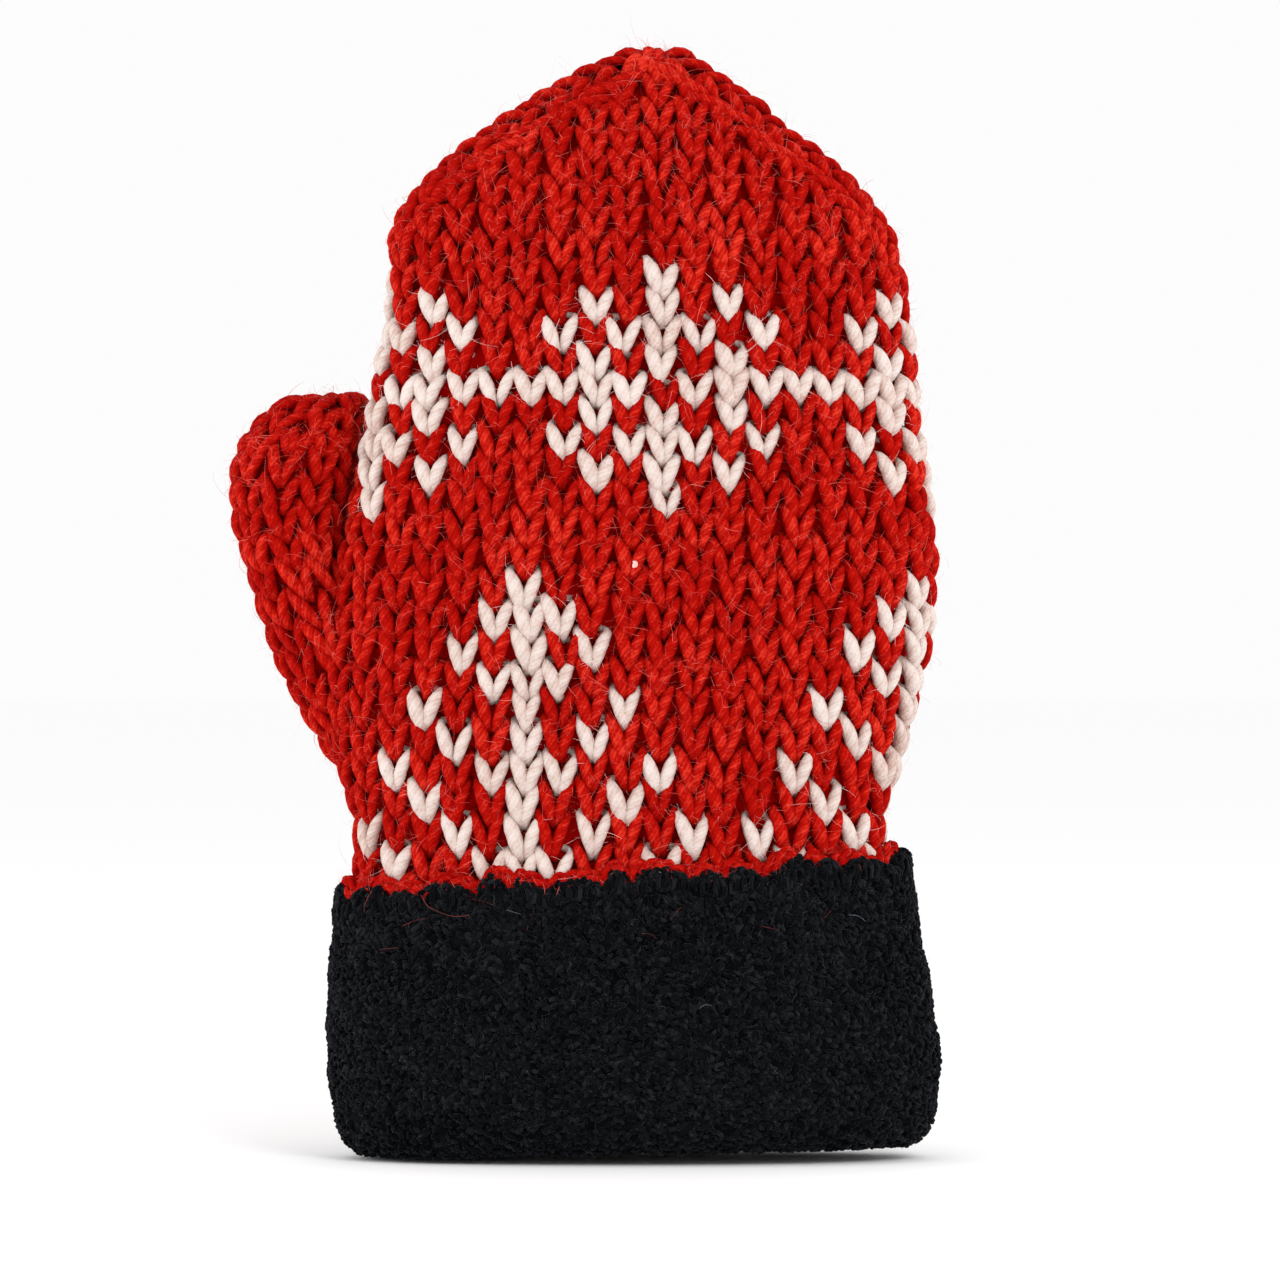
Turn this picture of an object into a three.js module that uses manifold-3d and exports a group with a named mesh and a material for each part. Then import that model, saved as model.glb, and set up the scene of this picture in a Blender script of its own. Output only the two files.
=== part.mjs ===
// A hand-knitted, fleece-lined right mitten, standing on its turned-up cuff.
// Millimetres, +Z up towards the fingertips, +X to the little finger side, +Y to the palm.
// The origin is the centre of the base: the middle of the overall width and depth, on the surface it stands on.
//
// A wool shell is knitted in the round. A fleece lining, cut as a back and a palm panel, sits inside it,
// turns under the shell's lower edge and comes up outside as the cuff, where red yarn holds its edge.
// The shell and lining flex at three places: across the knuckles, near the thumb's root and across
// the middle of the thumb. Each flex line is a cut there with a small gap, on a hinge.

import * as THREE from "three";
import { mergeVertices } from "three/addons/utils/BufferGeometryUtils.js";
import Module from "manifold-3d";

// Driving dimensions
const GAP = 0.3; // between pieces that touch
const KNIT = 3.6; // wool shell of the hand
const THUMB_KNIT = 3.2; // wool shell of the thumb
const FLOAT = 0.8; // white yarn carried behind the patterned rows
const FLEECE = 2.4; // lining
const CUFF_TOP = 53.5; // height of the cuff's edge at mid width
const CUFF_SLANT = 0.055; // the cuff's edge rises this much per mm towards the little finger
const KNIT_BOTTOM = 5; // cast-on edge of the shell, hidden in the cuff's fold
const KNUCKLES = 111; // height of the finger fold
const THUMB_ROOT_BEND = 92; // height of the line that the thumb leans out on
const THUMB_BEND = 118; // height of the thumb's own fold
const TREE_ROWS = [56, 105]; // heights of the lower white pattern
const SNOWFLAKE_ROWS = [118, 166]; // heights of the upper white pattern
const TIP = 207; // fingertip
const ROUNDNESS = 2.3; // exponent of the hand's flattened oval; 2 is an ellipse
const AROUND = 24; // facets round the hand
const THUMB_AROUND = 16;
const FACET_ROWS = [2, 5, 14, 28, 42, 52, 61, 69, 77, 88, 99, 118, 125, 133, 138, 146, 154, 166, 175, 183, 191, 199, 204];
const BIG = 400; // side of the boxes that cut at a plane

const LINING = KNIT + GAP + FLOAT + GAP; // depth of the lining's outer face below the shell's
const CAVITY = LINING + FLEECE;
const THUMB_LINING = THUMB_KNIT + GAP;
const THUMB_CAVITY = THUMB_LINING + 2.2;

// Outlines, as [height, thumb side x, little finger side x, half depth], from the base up
const HAND = [
  [0, -42, 58.5, 17.2],
  [5, -42.4, 59, 17.6],
  [28, -44.2, 60.2, 18],
  [50, -43.2, 57, 17.6],
  [61, -43.4, 55.6, 17.6],
  [77, -46.2, 60, 18],
  [88, -47.6, 63.2, 18.2],
  [104, -45.2, 65.4, 18.2],
  [118, -42.6, 65.2, 18],
  [136, -40, 62.9, 17.4],
  [154, -37, 60.8, 16.6],
  [166, -35.6, 59, 15.6],
  [175, -34.8, 56, 14],
  [183, -29.4, 49.6, 12],
  [191, -16.9, 39.8, 9.8],
  [199, -5.6, 30, 7.2],
  [204, 2.2, 23.2, 4.8],
  [TIP, 9.4, 17.6, 2.8],
];
const CUFF = [
  [0, -40, 59, 16.6],
  [1.6, -42.6, 61.4, 18.6],
  [5, -45.2, 63.6, 20.4],
  [14, -47.5, 65.8, 21.6],
  [28, -48, 64.8, 21.8],
  [44, -47, 62, 21.2],
  [60, -46.4, 60.2, 20.8],
];
const THUMB = [
  [66, -38, -14, 9],
  [77, -46.6, -20, 11],
  [85, -51.2, -24, 12],
  [94, -55.6, -30, 12.4],
  [104, -60, -38, 12.4],
  [115, -64, -44.4, 12.4],
  [125, -65.8, -43.7, 12.3],
  [133, -64.2, -42.4, 11.4],
  [138, -61, -41.5, 9.4],
  [141, -57, -41.6, 6.6],
  [143.4, -52, -44.4, 3.2],
];
const THUMB_Y = [3, 9.2]; // the thumb's middle, at its root and along its length

const wasm = await Module();
wasm.setup();

const red = new THREE.MeshStandardMaterial({ color: 0xb3130d, roughness: 0.92, metalness: 0 });
const white = new THREE.MeshStandardMaterial({ color: 0xe6ddd3, roughness: 0.92, metalness: 0 });
const black = new THREE.MeshStandardMaterial({ color: 0x0d0e11, roughness: 0.95, metalness: 0 });
const thread = new THREE.MeshStandardMaterial({ color: 0x17181b, roughness: 0.8, metalness: 0 });

// A value of an outline's column at a height, on a smooth curve through its points.
function at(outline, column, z) {
  const last = outline.length - 1;
  const i = THREE.MathUtils.clamp(outline.findIndex((row) => row[0] > z) - 1, 0, last - 1);
  const k = z >= outline[last][0] ? last - 1 : i;
  const [z0, z1] = [outline[k][0], outline[k + 1][0]];
  const t = THREE.MathUtils.clamp((z - z0) / (z1 - z0), 0, 1);
  const slope = (j) => {
    const [low, high] = [Math.max(j - 1, 0), Math.min(j + 1, last)];
    return (outline[high][column] - outline[low][column]) / (outline[high][0] - outline[low][0]);
  };
  const [p0, p1] = [outline[k][column], outline[k + 1][column]];
  const [m0, m1] = [slope(k) * (z1 - z0), slope(k + 1) * (z1 - z0)];
  return (
    p0 * (2 * t ** 3 - 3 * t ** 2 + 1) +
    m0 * (t ** 3 - 2 * t ** 2 + t) +
    p1 * (3 * t ** 2 - 2 * t ** 3) +
    m1 * (t ** 3 - t ** 2)
  );
}

// The oval of an outline at a height, with its wall moved in by inset.
function oval(outline, z, inset, y = 0) {
  const [left, right, depth] = [1, 2, 3].map((column) => at(outline, column, z));
  const half = Math.max((right - left) / 2 - inset, 0.6);
  return { x: (left + right) / 2, y, half, depth: Math.max(depth - inset, 0.6), z };
}

const handOval = (inset) => (z) => oval(HAND, z, inset);
const cuffOval = (inset) => (z) => oval(CUFF, z, inset);
const thumbOval = (inset) => (z) => {
  const t = THREE.MathUtils.smoothstep(z, THUMB[0][0], 104);
  return oval(THUMB, z, inset, THREE.MathUtils.lerp(THUMB_Y[0], THUMB_Y[1], t));
};

// A point on an oval's wall, or on its middle when reach is 0.
function wallPoint(o, angle, reach = 1) {
  const [c, s] = [Math.cos(angle), Math.sin(angle)];
  const power = 2 / ROUNDNESS;
  return new THREE.Vector3(
    o.x + reach * o.half * Math.sign(c) * Math.abs(c) ** power,
    o.y + reach * o.depth * Math.sign(s) * Math.abs(s) ** power,
    o.z,
  );
}

// A closed solid between two heights: a cylinder whose wall follows the ovals.
// Every column has its rows of facets at the same heights, so that nested walls stay apart.
function column(ovalAt, low, high, around = AROUND) {
  const between = FACET_ROWS.filter((z) => z > low + 1 && z < high - 1);
  const heights = [low, ...between, high];
  const geometry = new THREE.CylinderGeometry(1, 1, 1, around, heights.length - 1);
  const position = geometry.attributes.position;
  for (let i = 0; i < position.count; i++) {
    const row = Math.round((position.getY(i) + 0.5) * (heights.length - 1));
    const [x, z] = [position.getX(i), position.getZ(i)];
    const p = wallPoint(ovalAt(heights[row]), Math.atan2(-z, x), Math.hypot(x, z));
    position.setXYZ(i, p.x, p.y, p.z);
  }
  return solid(geometry);
}

// A closed ring of yarn round the hand: a torus whose circle follows ringPoint.
function ring(ringPoint, radius, steps) {
  const geometry = new THREE.TorusGeometry(10, 1, 8, steps);
  const position = geometry.attributes.position;
  for (let i = 0; i < position.count; i++) {
    const p = new THREE.Vector3().fromBufferAttribute(position, i);
    const angle = Math.atan2(p.y, p.x);
    const out = new THREE.Vector3(Math.cos(angle), Math.sin(angle), 0);
    const middle = ringPoint(angle);
    middle.addScaledVector(out, (Math.hypot(p.x, p.y) - 10) * radius);
    position.setXYZ(i, middle.x, middle.y, middle.z + p.z * radius);
  }
  return solid(geometry);
}

// A round thread along a curve through points.
function threadAlong(points, radius, steps) {
  const section = new THREE.Shape().absarc(0, 0, radius, 0, 2 * Math.PI);
  return solid(
    new THREE.ExtrudeGeometry(section, {
      extrudePath: new THREE.CatmullRomCurve3(points),
      steps,
      curveSegments: 4,
    }),
  );
}

// A knot of drawn-up yarn: a flattened ball.
function knot(x, y, z, radii) {
  const geometry = new THREE.SphereGeometry(1, 16, 10);
  geometry.scale(...radii).translate(x, y, z);
  return solid(geometry);
}

function solid(geometry) {
  const bare = geometry.clone();
  bare.deleteAttribute("normal");
  bare.deleteAttribute("uv");
  const merged = mergeVertices(bare, 1e-4);
  return new wasm.Manifold(
    new wasm.Mesh({
      numProp: 3,
      vertProperties: new Float32Array(merged.attributes.position.array),
      triVerts: new Uint32Array(merged.index.array),
    }),
  );
}

// Everything on one side of a plane square to an axis ("x", "y" or "z").
function side(axis, place, towards) {
  const centre = new THREE.Vector3();
  centre[axis] = place + (towards * BIG) / 2;
  return solid(new THREE.BoxGeometry(BIG, BIG, BIG).translate(centre.x, centre.y, centre.z));
}

// Everything below the cuff's slanting edge.
function belowCuffEdge() {
  const block = new THREE.BoxGeometry(BIG, BIG, BIG).translate(0, 0, -BIG / 2);
  return solid(block.rotateY(-Math.atan(CUFF_SLANT)).translate(0, 0, CUFF_TOP));
}

const model = new THREE.Group();

function place(name, made, material) {
  const { vertProperties, triVerts, numProp } = made.getMesh();
  const points = new Float32Array((vertProperties.length / numProp) * 3);
  for (let i = 0; i < points.length / 3; i++) {
    points.set(vertProperties.subarray(i * numProp, i * numProp + 3), i * 3);
  }
  const geometry = new THREE.BufferGeometry();
  geometry.setAttribute("position", new THREE.BufferAttribute(points, 3));
  geometry.setIndex(new THREE.BufferAttribute(new Uint32Array(triVerts), 1));
  geometry.computeVertexNormals();
  const mesh = new THREE.Mesh(geometry, material);
  mesh.name = name;
  model.add(mesh);
}

const belowKnuckles = side("z", KNUCKLES - GAP / 2, -1);
const aboveKnuckles = side("z", KNUCKLES + GAP / 2, 1);
const belowThumbRoot = side("z", THUMB_ROOT_BEND - GAP / 2, -1);
const aboveThumbRoot = side("z", THUMB_ROOT_BEND + GAP / 2, 1);
const belowThumbBend = side("z", THUMB_BEND - GAP / 2, -1);
const aboveThumbBend = side("z", THUMB_BEND + GAP / 2, 1);
const back = side("y", -GAP / 2, -1);
const palm = side("y", GAP / 2, 1);

const handOuter = column(handOval(0), KNIT_BOTTOM, TIP);
const handKnitInner = column(handOval(KNIT), 0, TIP - KNIT);
const liningOuter = column(handOval(LINING), 0, TIP - LINING);
const cavity = column(handOval(CAVITY), -2, TIP - CAVITY);
const handClearance = column(handOval(-GAP), 0, TIP);

const THUMB_ROOT = THUMB[0][0];
const THUMB_TIP = THUMB[THUMB.length - 1][0];
const thumbColumn = (inset, top) => column(thumbOval(inset), THUMB_ROOT, top, THUMB_AROUND);
const thumbOuter = thumbColumn(0, THUMB_TIP);
const thumbKnitInner = thumbColumn(THUMB_KNIT, THUMB_TIP - THUMB_KNIT);
const thumbLiningOuter = thumbColumn(THUMB_LINING, THUMB_TIP - THUMB_LINING);
const thumbCavity = thumbColumn(THUMB_CAVITY, THUMB_TIP - THUMB_CAVITY);

// Wool shell of the hand, with the hole that the thumb goes through
const knit = handOuter.subtract(handKnitInner).subtract(thumbCavity);
const crownHole = knot(13.4, 0, TIP - 2.4, [3, 2.2, 4.4]);
place("knit_hand", knit.intersect(belowKnuckles), red);
place("knit_fingers", knit.intersect(aboveKnuckles).subtract(crownHole), red);
place("crown_gather", knot(13.4, 0, TIP - 2.8, [2.7, 1.9, 3.2]), red);

// White yarn carried behind the patterned rows
function floats([low, high]) {
  const outer = column(handOval(KNIT + GAP), 0, TIP - KNIT);
  const inner = column(handOval(KNIT + GAP + FLOAT), 0, TIP - KNIT);
  const rows = side("z", low, 1).intersect(side("z", high, -1));
  return outer.subtract(inner).intersect(rows).subtract(thumbColumn(THUMB_KNIT, THUMB_TIP));
}
place("tree_band_white_yarn", floats(TREE_ROWS), white);
place("snowflake_band_white_yarn", floats(SNOWFLAKE_ROWS), white);

// Fleece: the lining, turned under the shell's edge and up outside as the cuff
const cuffBand = column(cuffOval(0), 0, 60)
  .intersect(belowCuffEdge())
  .subtract(handClearance.intersect(side("z", KNIT_BOTTOM - GAP, 1)));
const lining = liningOuter.intersect(belowKnuckles);
const fleece = cuffBand.add(lining).subtract(cavity).subtract(thumbCavity);
place("cuff_and_lining_back", fleece.intersect(back), black);
place("cuff_and_lining_palm", fleece.intersect(palm), black);

const fingerLining = liningOuter.subtract(cavity).intersect(aboveKnuckles);
place("lining_fingers_back", fingerLining.intersect(back), black);
place("lining_fingers_palm", fingerLining.intersect(palm), black);

// Red yarn that holds the cuff's edge to the shell, lying in the corner above the fleece
const YARN = 1.3;
place(
  "cuff_edge_yarn",
  ring(
    (angle) => {
      const edge = wallPoint(oval(HAND, CUFF_TOP, -GAP - YARN), angle);
      edge.z = CUFF_TOP + CUFF_SLANT * edge.x + YARN + GAP;
      return edge;
    },
    YARN,
    48,
  ),
  red,
);

// Sewing thread of the lining's side seams, on the cavity's wall
const SEAM = 0.6;
function seam(name, edge, heights, steps) {
  const points = heights.map((z) => {
    const o = oval(HAND, z, CAVITY + 2 * GAP + SEAM);
    return new THREE.Vector3(o.x + edge * o.half, 0, z);
  });
  place(name, threadAlong(points, SEAM, steps), thread);
}
seam("seam_thread_thumb_side", -1, [6, 20, 36, 52, 66], 18);
seam("seam_thread_little_finger_side", 1, [6, 24, 44, 60, 76, 92, 108], 24);
seam("seam_thread_fingers", 1, [114, 128, 142, 156, 166], 16);

// Thumb: wool shell and lining, from the hand's surface to the tip, cut at its two flex lines
const thumbKnit = thumbOuter.subtract(thumbKnitInner).subtract(handClearance);
const thumbLining = thumbLiningOuter.subtract(thumbCavity).subtract(handClearance);
const thumbKnot = [-49, THUMB_Y[1], THUMB_TIP - 1.2];
const thumbParts = [
  ["_gusset", belowThumbRoot],
  ["_lower", aboveThumbRoot.intersect(belowThumbBend)],
  ["", aboveThumbBend.subtract(knot(...thumbKnot, [3.2, 2.8, 3.6]))],
];
for (const [part, region] of thumbParts) {
  place("knit_thumb" + part, thumbKnit.intersect(region), red);
  place("lining_thumb" + part, thumbLining.intersect(region), black);
}
place("thumb_gather", knot(...thumbKnot, [2.9, 2.5, 2.2]), red);

export default model;
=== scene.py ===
import math

import bpy
import numpy as np
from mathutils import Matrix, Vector


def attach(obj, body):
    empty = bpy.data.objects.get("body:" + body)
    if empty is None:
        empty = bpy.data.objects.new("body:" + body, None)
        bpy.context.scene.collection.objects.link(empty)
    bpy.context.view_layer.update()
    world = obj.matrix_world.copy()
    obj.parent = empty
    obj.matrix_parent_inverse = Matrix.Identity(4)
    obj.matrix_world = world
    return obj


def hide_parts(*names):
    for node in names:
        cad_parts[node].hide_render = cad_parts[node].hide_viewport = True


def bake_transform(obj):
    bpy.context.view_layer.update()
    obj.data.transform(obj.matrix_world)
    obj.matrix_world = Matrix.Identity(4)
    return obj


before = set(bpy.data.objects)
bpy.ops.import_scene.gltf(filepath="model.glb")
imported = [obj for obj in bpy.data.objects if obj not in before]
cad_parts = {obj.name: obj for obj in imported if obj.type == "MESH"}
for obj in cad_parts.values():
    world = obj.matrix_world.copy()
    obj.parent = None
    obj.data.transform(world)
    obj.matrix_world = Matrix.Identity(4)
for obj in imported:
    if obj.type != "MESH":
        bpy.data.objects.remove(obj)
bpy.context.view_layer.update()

RNG = np.random.default_rng(11)
MM = 0.001

# ------------------------ outlines
# Each row: height, thumb side x, little finger side x, half depth. The yarn stands proud of them.
HAND = np.array([
    [0, -42, 58.5, 17.2], [5, -42.4, 59, 17.6], [28, -44.2, 60.2, 18], [50, -43.2, 57, 17.6],
    [61, -42.4, 55.2, 17.6], [77, -46.2, 58.8, 18], [88, -47.6, 61.6, 18.2], [104, -45.8, 64.2, 18.2],
    [118, -43.8, 64.4, 18], [136, -40.6, 62, 17.4], [154, -37, 60.2, 16.6], [166, -35.6, 58.2, 15.6],
    [175, -34.6, 55.2, 14], [183, -28.8, 48.6, 12], [191, -19, 38.2, 9.8], [199, -6.4, 28.2, 7.2],
    [204, 2.6, 21.6, 4.8], [207, 9.2, 16.6, 2.8],
])
CUFF = np.array([
    [0, -40, 59, 16.6], [1.6, -42.6, 61.4, 18.6], [5, -45.2, 63.6, 20.4], [14, -47.5, 65.8, 21.6],
    [28, -48, 64.8, 21.8], [44, -47, 62, 21.2], [60, -46.4, 60.2, 20.8],
])
THUMB = np.array([
    [66, -38, -14, 9], [72, -43, -17, 10], [77, -47.4, -20, 11], [85, -53, -24, 12],
    [94, -57, -30, 12.4], [104, -60.8, -39.5, 12.4], [115, -64.4, -45.4, 12.4],
    [125, -66, -45.1, 12.3], [133, -64.6, -43.6, 11.4], [138, -60.6, -42.6, 9.4],
    [141, -56.4, -42.5, 6.6], [143.6, -51.2, -44.4, 3.2],
])
THUMB_Y = (3, 9.2)  # y of the thumb's middle plane at its root, and from THUMB_STRAIGHT up
THUMB_STRAIGHT = 104  # height above which that plane is flat
POWER = 2 / 2.3  # of the flattened oval
CUFF_TOP, CUFF_SLANT = 53.5, 0.055  # height of the cuff's edge at x = 0, and how it rises with x
KNIT = 3.6  # thickness of the knitting
CAVITY = 7.4  # from the outline in to the lining's inner side

# ------------------------ gauge and charts
PITCH = 6.2  # one stitch across
AROUND = 36  # stitches round the hand
MIDDLE = 8  # the stitch at the middle of the back of the hand
MIDDLE_X = 14.0  # where that stitch is
ROWS = np.array([  # height of each row of stitches
    40, 46, 51.8, 57.2, 63.3, 69.2, 74.9, 80.8, 86.4, 91.6, 97.3, 102.9, 108.6, 114.1, 119.5, 124.9,
    130.2, 135.4, 140.6, 145.6, 150.6, 155.8, 161, 166.1, 171.2, 176.3, 181.3, 186.3, 191.2, 196,
    200.4, 204.2,
])
TREE_TOP, FLAKE_MIDDLE, CROWN = 11, 18, 24  # indexes into ROWS
TREE_ROWS, TREE_REPEAT, TREE_COLUMN = 10, 12, 4  # its height, the distance between trees, and where one is
FLAKE_REACH, FLAKE_REPEAT = 4, 9  # rows above and below its middle, and the distance between snowflakes
# The white rows by distance from the middle column: down from the tree's top, and up from the flake's middle
TREE = {0: range(TREE_ROWS), 1: (1, 3, 6, 9), 2: (2, 5, 8), 3: (4, 7), 4: (6, 9), 5: (8,)}
FLAKE = {0: (-4, -3, -2, -1, 1, 2, 3, 4), 1: (-2, 0, 2), 2: (-3, -1, 0, 1, 3), 3: (-2, 0, 2), 4: (0,)}


def is_white(row, column):
    """Whether a stitch of the hand belongs to a tree or a snowflake."""
    down = TREE_TOP - row
    if 0 <= down < TREE_ROWS:
        away = abs((column - TREE_COLUMN + TREE_REPEAT / 2) % TREE_REPEAT - TREE_REPEAT / 2)
        return down in TREE.get(away, ())
    up = row - FLAKE_MIDDLE
    if abs(up) <= FLAKE_REACH:
        away = abs((column - MIDDLE + FLAKE_REPEAT / 2) % FLAKE_REPEAT - FLAKE_REPEAT / 2)
        return up in FLAKE[int(away)]
    return False


# ------------------------ surfaces
def smooth(table, z):
    """The table's columns at heights z, on smooth curves through its rows."""
    z = np.asarray(z, float)
    heights = table[:, 0]
    slopes = np.gradient(table[:, 1:], heights, axis=0)
    k = np.clip(np.searchsorted(heights, z, side="right") - 1, 0, len(heights) - 2)
    width = heights[k + 1] - heights[k]
    t = np.clip((z - heights[k]) / width, 0, 1)[..., None]
    width = width[..., None]
    a, b = table[k, 1:], table[k + 1, 1:]
    return (
        a * (2 * t**3 - 3 * t**2 + 1) + slopes[k] * width * (t**3 - 2 * t**2 + t)
        + b * (3 * t**2 - 2 * t**3) + slopes[k + 1] * width * (t**3 - t**2)
    )


class Tube:
    """A flattened tube of fabric. A place on it is (share of the way round, height)."""

    STEPS = 720  # places round it
    RISE = 0.5  # between its levels
    LEAST = 0.6  # smallest half width and half depth

    def __init__(self, table, inset=0.0, middle_y=None):
        self.z = np.arange(table[0, 0], table[-1, 0] + self.RISE / 2, self.RISE)
        left, right, depth = smooth(table, self.z).T
        half = np.maximum((right - left) / 2 - inset, self.LEAST)
        depth = np.maximum(depth - inset, self.LEAST)
        y = np.zeros_like(self.z) if middle_y is None else middle_y(self.z)
        angle = np.pi + np.linspace(0, 2 * np.pi, 2 * self.STEPS + 1)
        c, s = np.cos(angle), np.sin(angle)
        ring_x = np.sign(c) * np.abs(c) ** POWER
        ring_y = np.sign(s) * np.abs(s) ** POWER
        x = (left + right)[:, None] / 2 + half[:, None] * ring_x
        y = y[:, None] + depth[:, None] * ring_y
        step = np.hypot(np.diff(x, axis=1), np.diff(y, axis=1))
        arc = np.concatenate([np.zeros((len(x), 1)), np.cumsum(step, axis=1)], axis=1)
        self.length = arc[:, -1]
        even = np.linspace(0, 1, self.STEPS + 1)
        self.points = np.stack([
            np.stack([
                np.interp(even, row_arc / row_arc[-1], row_x),
                np.interp(even, row_arc / row_arc[-1], row_y),
                np.full_like(even, row_z),
            ], axis=-1)
            for row_arc, row_x, row_y, row_z in zip(arc, x, y, self.z)
        ])
        round_way = np.roll(self.points[:, :-1], -1, axis=1) - np.roll(self.points[:, :-1], 1, axis=1)
        up_way = np.gradient(self.points[:, :-1], axis=0)
        normal = np.cross(round_way, up_way)
        normal /= np.linalg.norm(normal, axis=-1, keepdims=True)
        self.normals = np.concatenate([normal, normal[:, :1]], axis=1)

    def _sample(self, values, share, z):
        i = np.clip((z - self.z[0]) / self.RISE, 0, len(self.z) - 1.001)
        j = (share % 1.0) * self.STEPS
        i0, j0 = i.astype(int), np.minimum(j.astype(int), self.STEPS - 1)
        fi, fj = (i - i0)[..., None], (j - j0)[..., None]
        low = values[i0, j0] * (1 - fj) + values[i0, j0 + 1] * fj
        high = values[i0 + 1, j0] * (1 - fj) + values[i0 + 1, j0 + 1] * fj
        return low * (1 - fi) + high * fi

    def at(self, share, z, out=0.0):
        """Points on the tube, moved out from its surface."""
        share, z, out = np.broadcast_arrays(*(np.asarray(value, float) for value in (share, z, out)))
        normal = self._sample(self.normals, share, z)
        normal /= np.linalg.norm(normal, axis=-1, keepdims=True)
        point = self._sample(self.points, share, z)
        point[..., 2] = z
        return point + normal * out[..., None], normal

    def around(self, z):
        """The way round at height z."""
        return np.interp(z, self.z, self.length)


def thumb_y(z):
    """Where the thumb's middle plane is at height z."""
    t = np.clip((z - THUMB[0, 0]) / (THUMB_STRAIGHT - THUMB[0, 0]), 0, 1)
    return THUMB_Y[0] + (THUMB_Y[1] - THUMB_Y[0]) * t * t * (3 - 2 * t)


YARN = {"red": 1.2, "white": 1.27}  # radius of the wool yarn
REACH = {"red": 1.0, "white": 0.9}  # height of a stitch's legs, as a share of LOOP's
HAND_TUBE = Tube(HAND, inset=0.6)
THUMB_TUBE = Tube(THUMB, inset=0.4, middle_y=thumb_y)


def inside(table, inset, points, middle_y=None):
    """Which points lie inside an outline that is moved in by inset."""
    z = points[..., 2]
    left, right, depth = np.moveaxis(smooth(table, z), -1, 0)
    y = points[..., 1] - (0 if middle_y is None else middle_y(z))
    across = np.abs(points[..., 0] - (left + right) / 2) / np.maximum((right - left) / 2 - inset, 0.3)
    through = np.abs(y) / np.maximum(depth - inset, 0.3)
    within = across ** (2 / POWER) + through ** (2 / POWER) < 1
    return within & (z > table[0, 0]) & (z < table[-1, 0] - inset)


def middle_share(z):
    """How far round the back of the hand the middle stitch is, from the thumb side's edge."""
    left, right, _ = smooth(HAND, z).T
    points = HAND_TUBE.points[:, : HAND_TUBE.STEPS // 2, 0]
    share = np.array([np.interp(MIDDLE_X, row, np.arange(len(row)) / HAND_TUBE.STEPS) for row in points])
    return np.interp(z, HAND_TUBE.z, share)


MIDDLE_SHARE = (HAND_TUBE.z, middle_share(HAND_TUBE.z))
CROWN_Z = ROWS[CROWN]


def edges_of(z):
    """The stitch counts at which the back of the hand begins and ends."""
    stitches_round, middle = HAND_TUBE.around(z) / PITCH, np.interp(z, *MIDDLE_SHARE)
    return MIDDLE - middle * stitches_round, MIDDLE + (0.5 - middle) * stitches_round


def hand_share(column, z):
    """Share of the way round for a place counted in stitches. The back's stitches run straight up."""
    z = np.asarray(z, float)
    low, high = edges_of(z)
    column = low + (column - low) % AROUND
    back = np.interp(z, *MIDDLE_SHARE) + (column - MIDDLE) * PITCH / HAND_TUBE.around(z)
    palm = 0.5 + (column - high) * 0.5 / (low + AROUND - high)
    return np.where(column < high, back, palm)


# ------------------------ yarn
LOOP = np.array([  # one side of a stitch: across in stitches, up in rows, out in mm
    [-0.50, 0.14, -3.0], [-0.28, -0.06, -2.7], [-0.115, -0.1, -1.6], [-0.06, 0.05, -0.35],
    [-0.125, 0.38, 0.42], [-0.22, 0.75, 0.62], [-0.335, 1.1, 0.25], [-0.425, 1.36, -0.8],
    [-0.33, 1.46, -2.2], [0.0, 1.5, -3.0],
])
LOOP_THICK = np.array([0.55, 0.55, 0.62, 0.8, 1.06, 1.14, 1.02, 0.76, 0.6, 0.55])
SECOND_LEG = np.array([-1.05, 0.95, 1])  # the second leg leans out further and is shorter
SECOND_LEG_THICK = 0.88
SEGMENTS = 30  # points along a stitch
SIDES = 8  # of the yarn's section
GUTTER = 0.04  # space round each tube in the bake map, as a share of its cell
PAINTED_SIDE_SHADE = 0.3  # painted shade: how much paler the outside of the yarn is painted than its sides


def spline(points, count):
    """A smooth curve of count points through each row of control points (..., n, k)."""
    n = points.shape[-2]
    t = np.linspace(0, n - 1, count)
    i = np.minimum(t.astype(int), n - 2)
    f = (t - i)[:, None]
    a, b, c, d = (points[..., np.clip(i + k, 0, n - 1), :] for k in (-1, 0, 1, 2))
    return 0.5 * (2 * b + (c - a) * f + (2 * a - 5 * b + 4 * c - d) * f**2 + (3 * b - a - 3 * c + d) * f**3)


TWIST = 5.0  # length of yarn in which its two strands turn once


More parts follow.
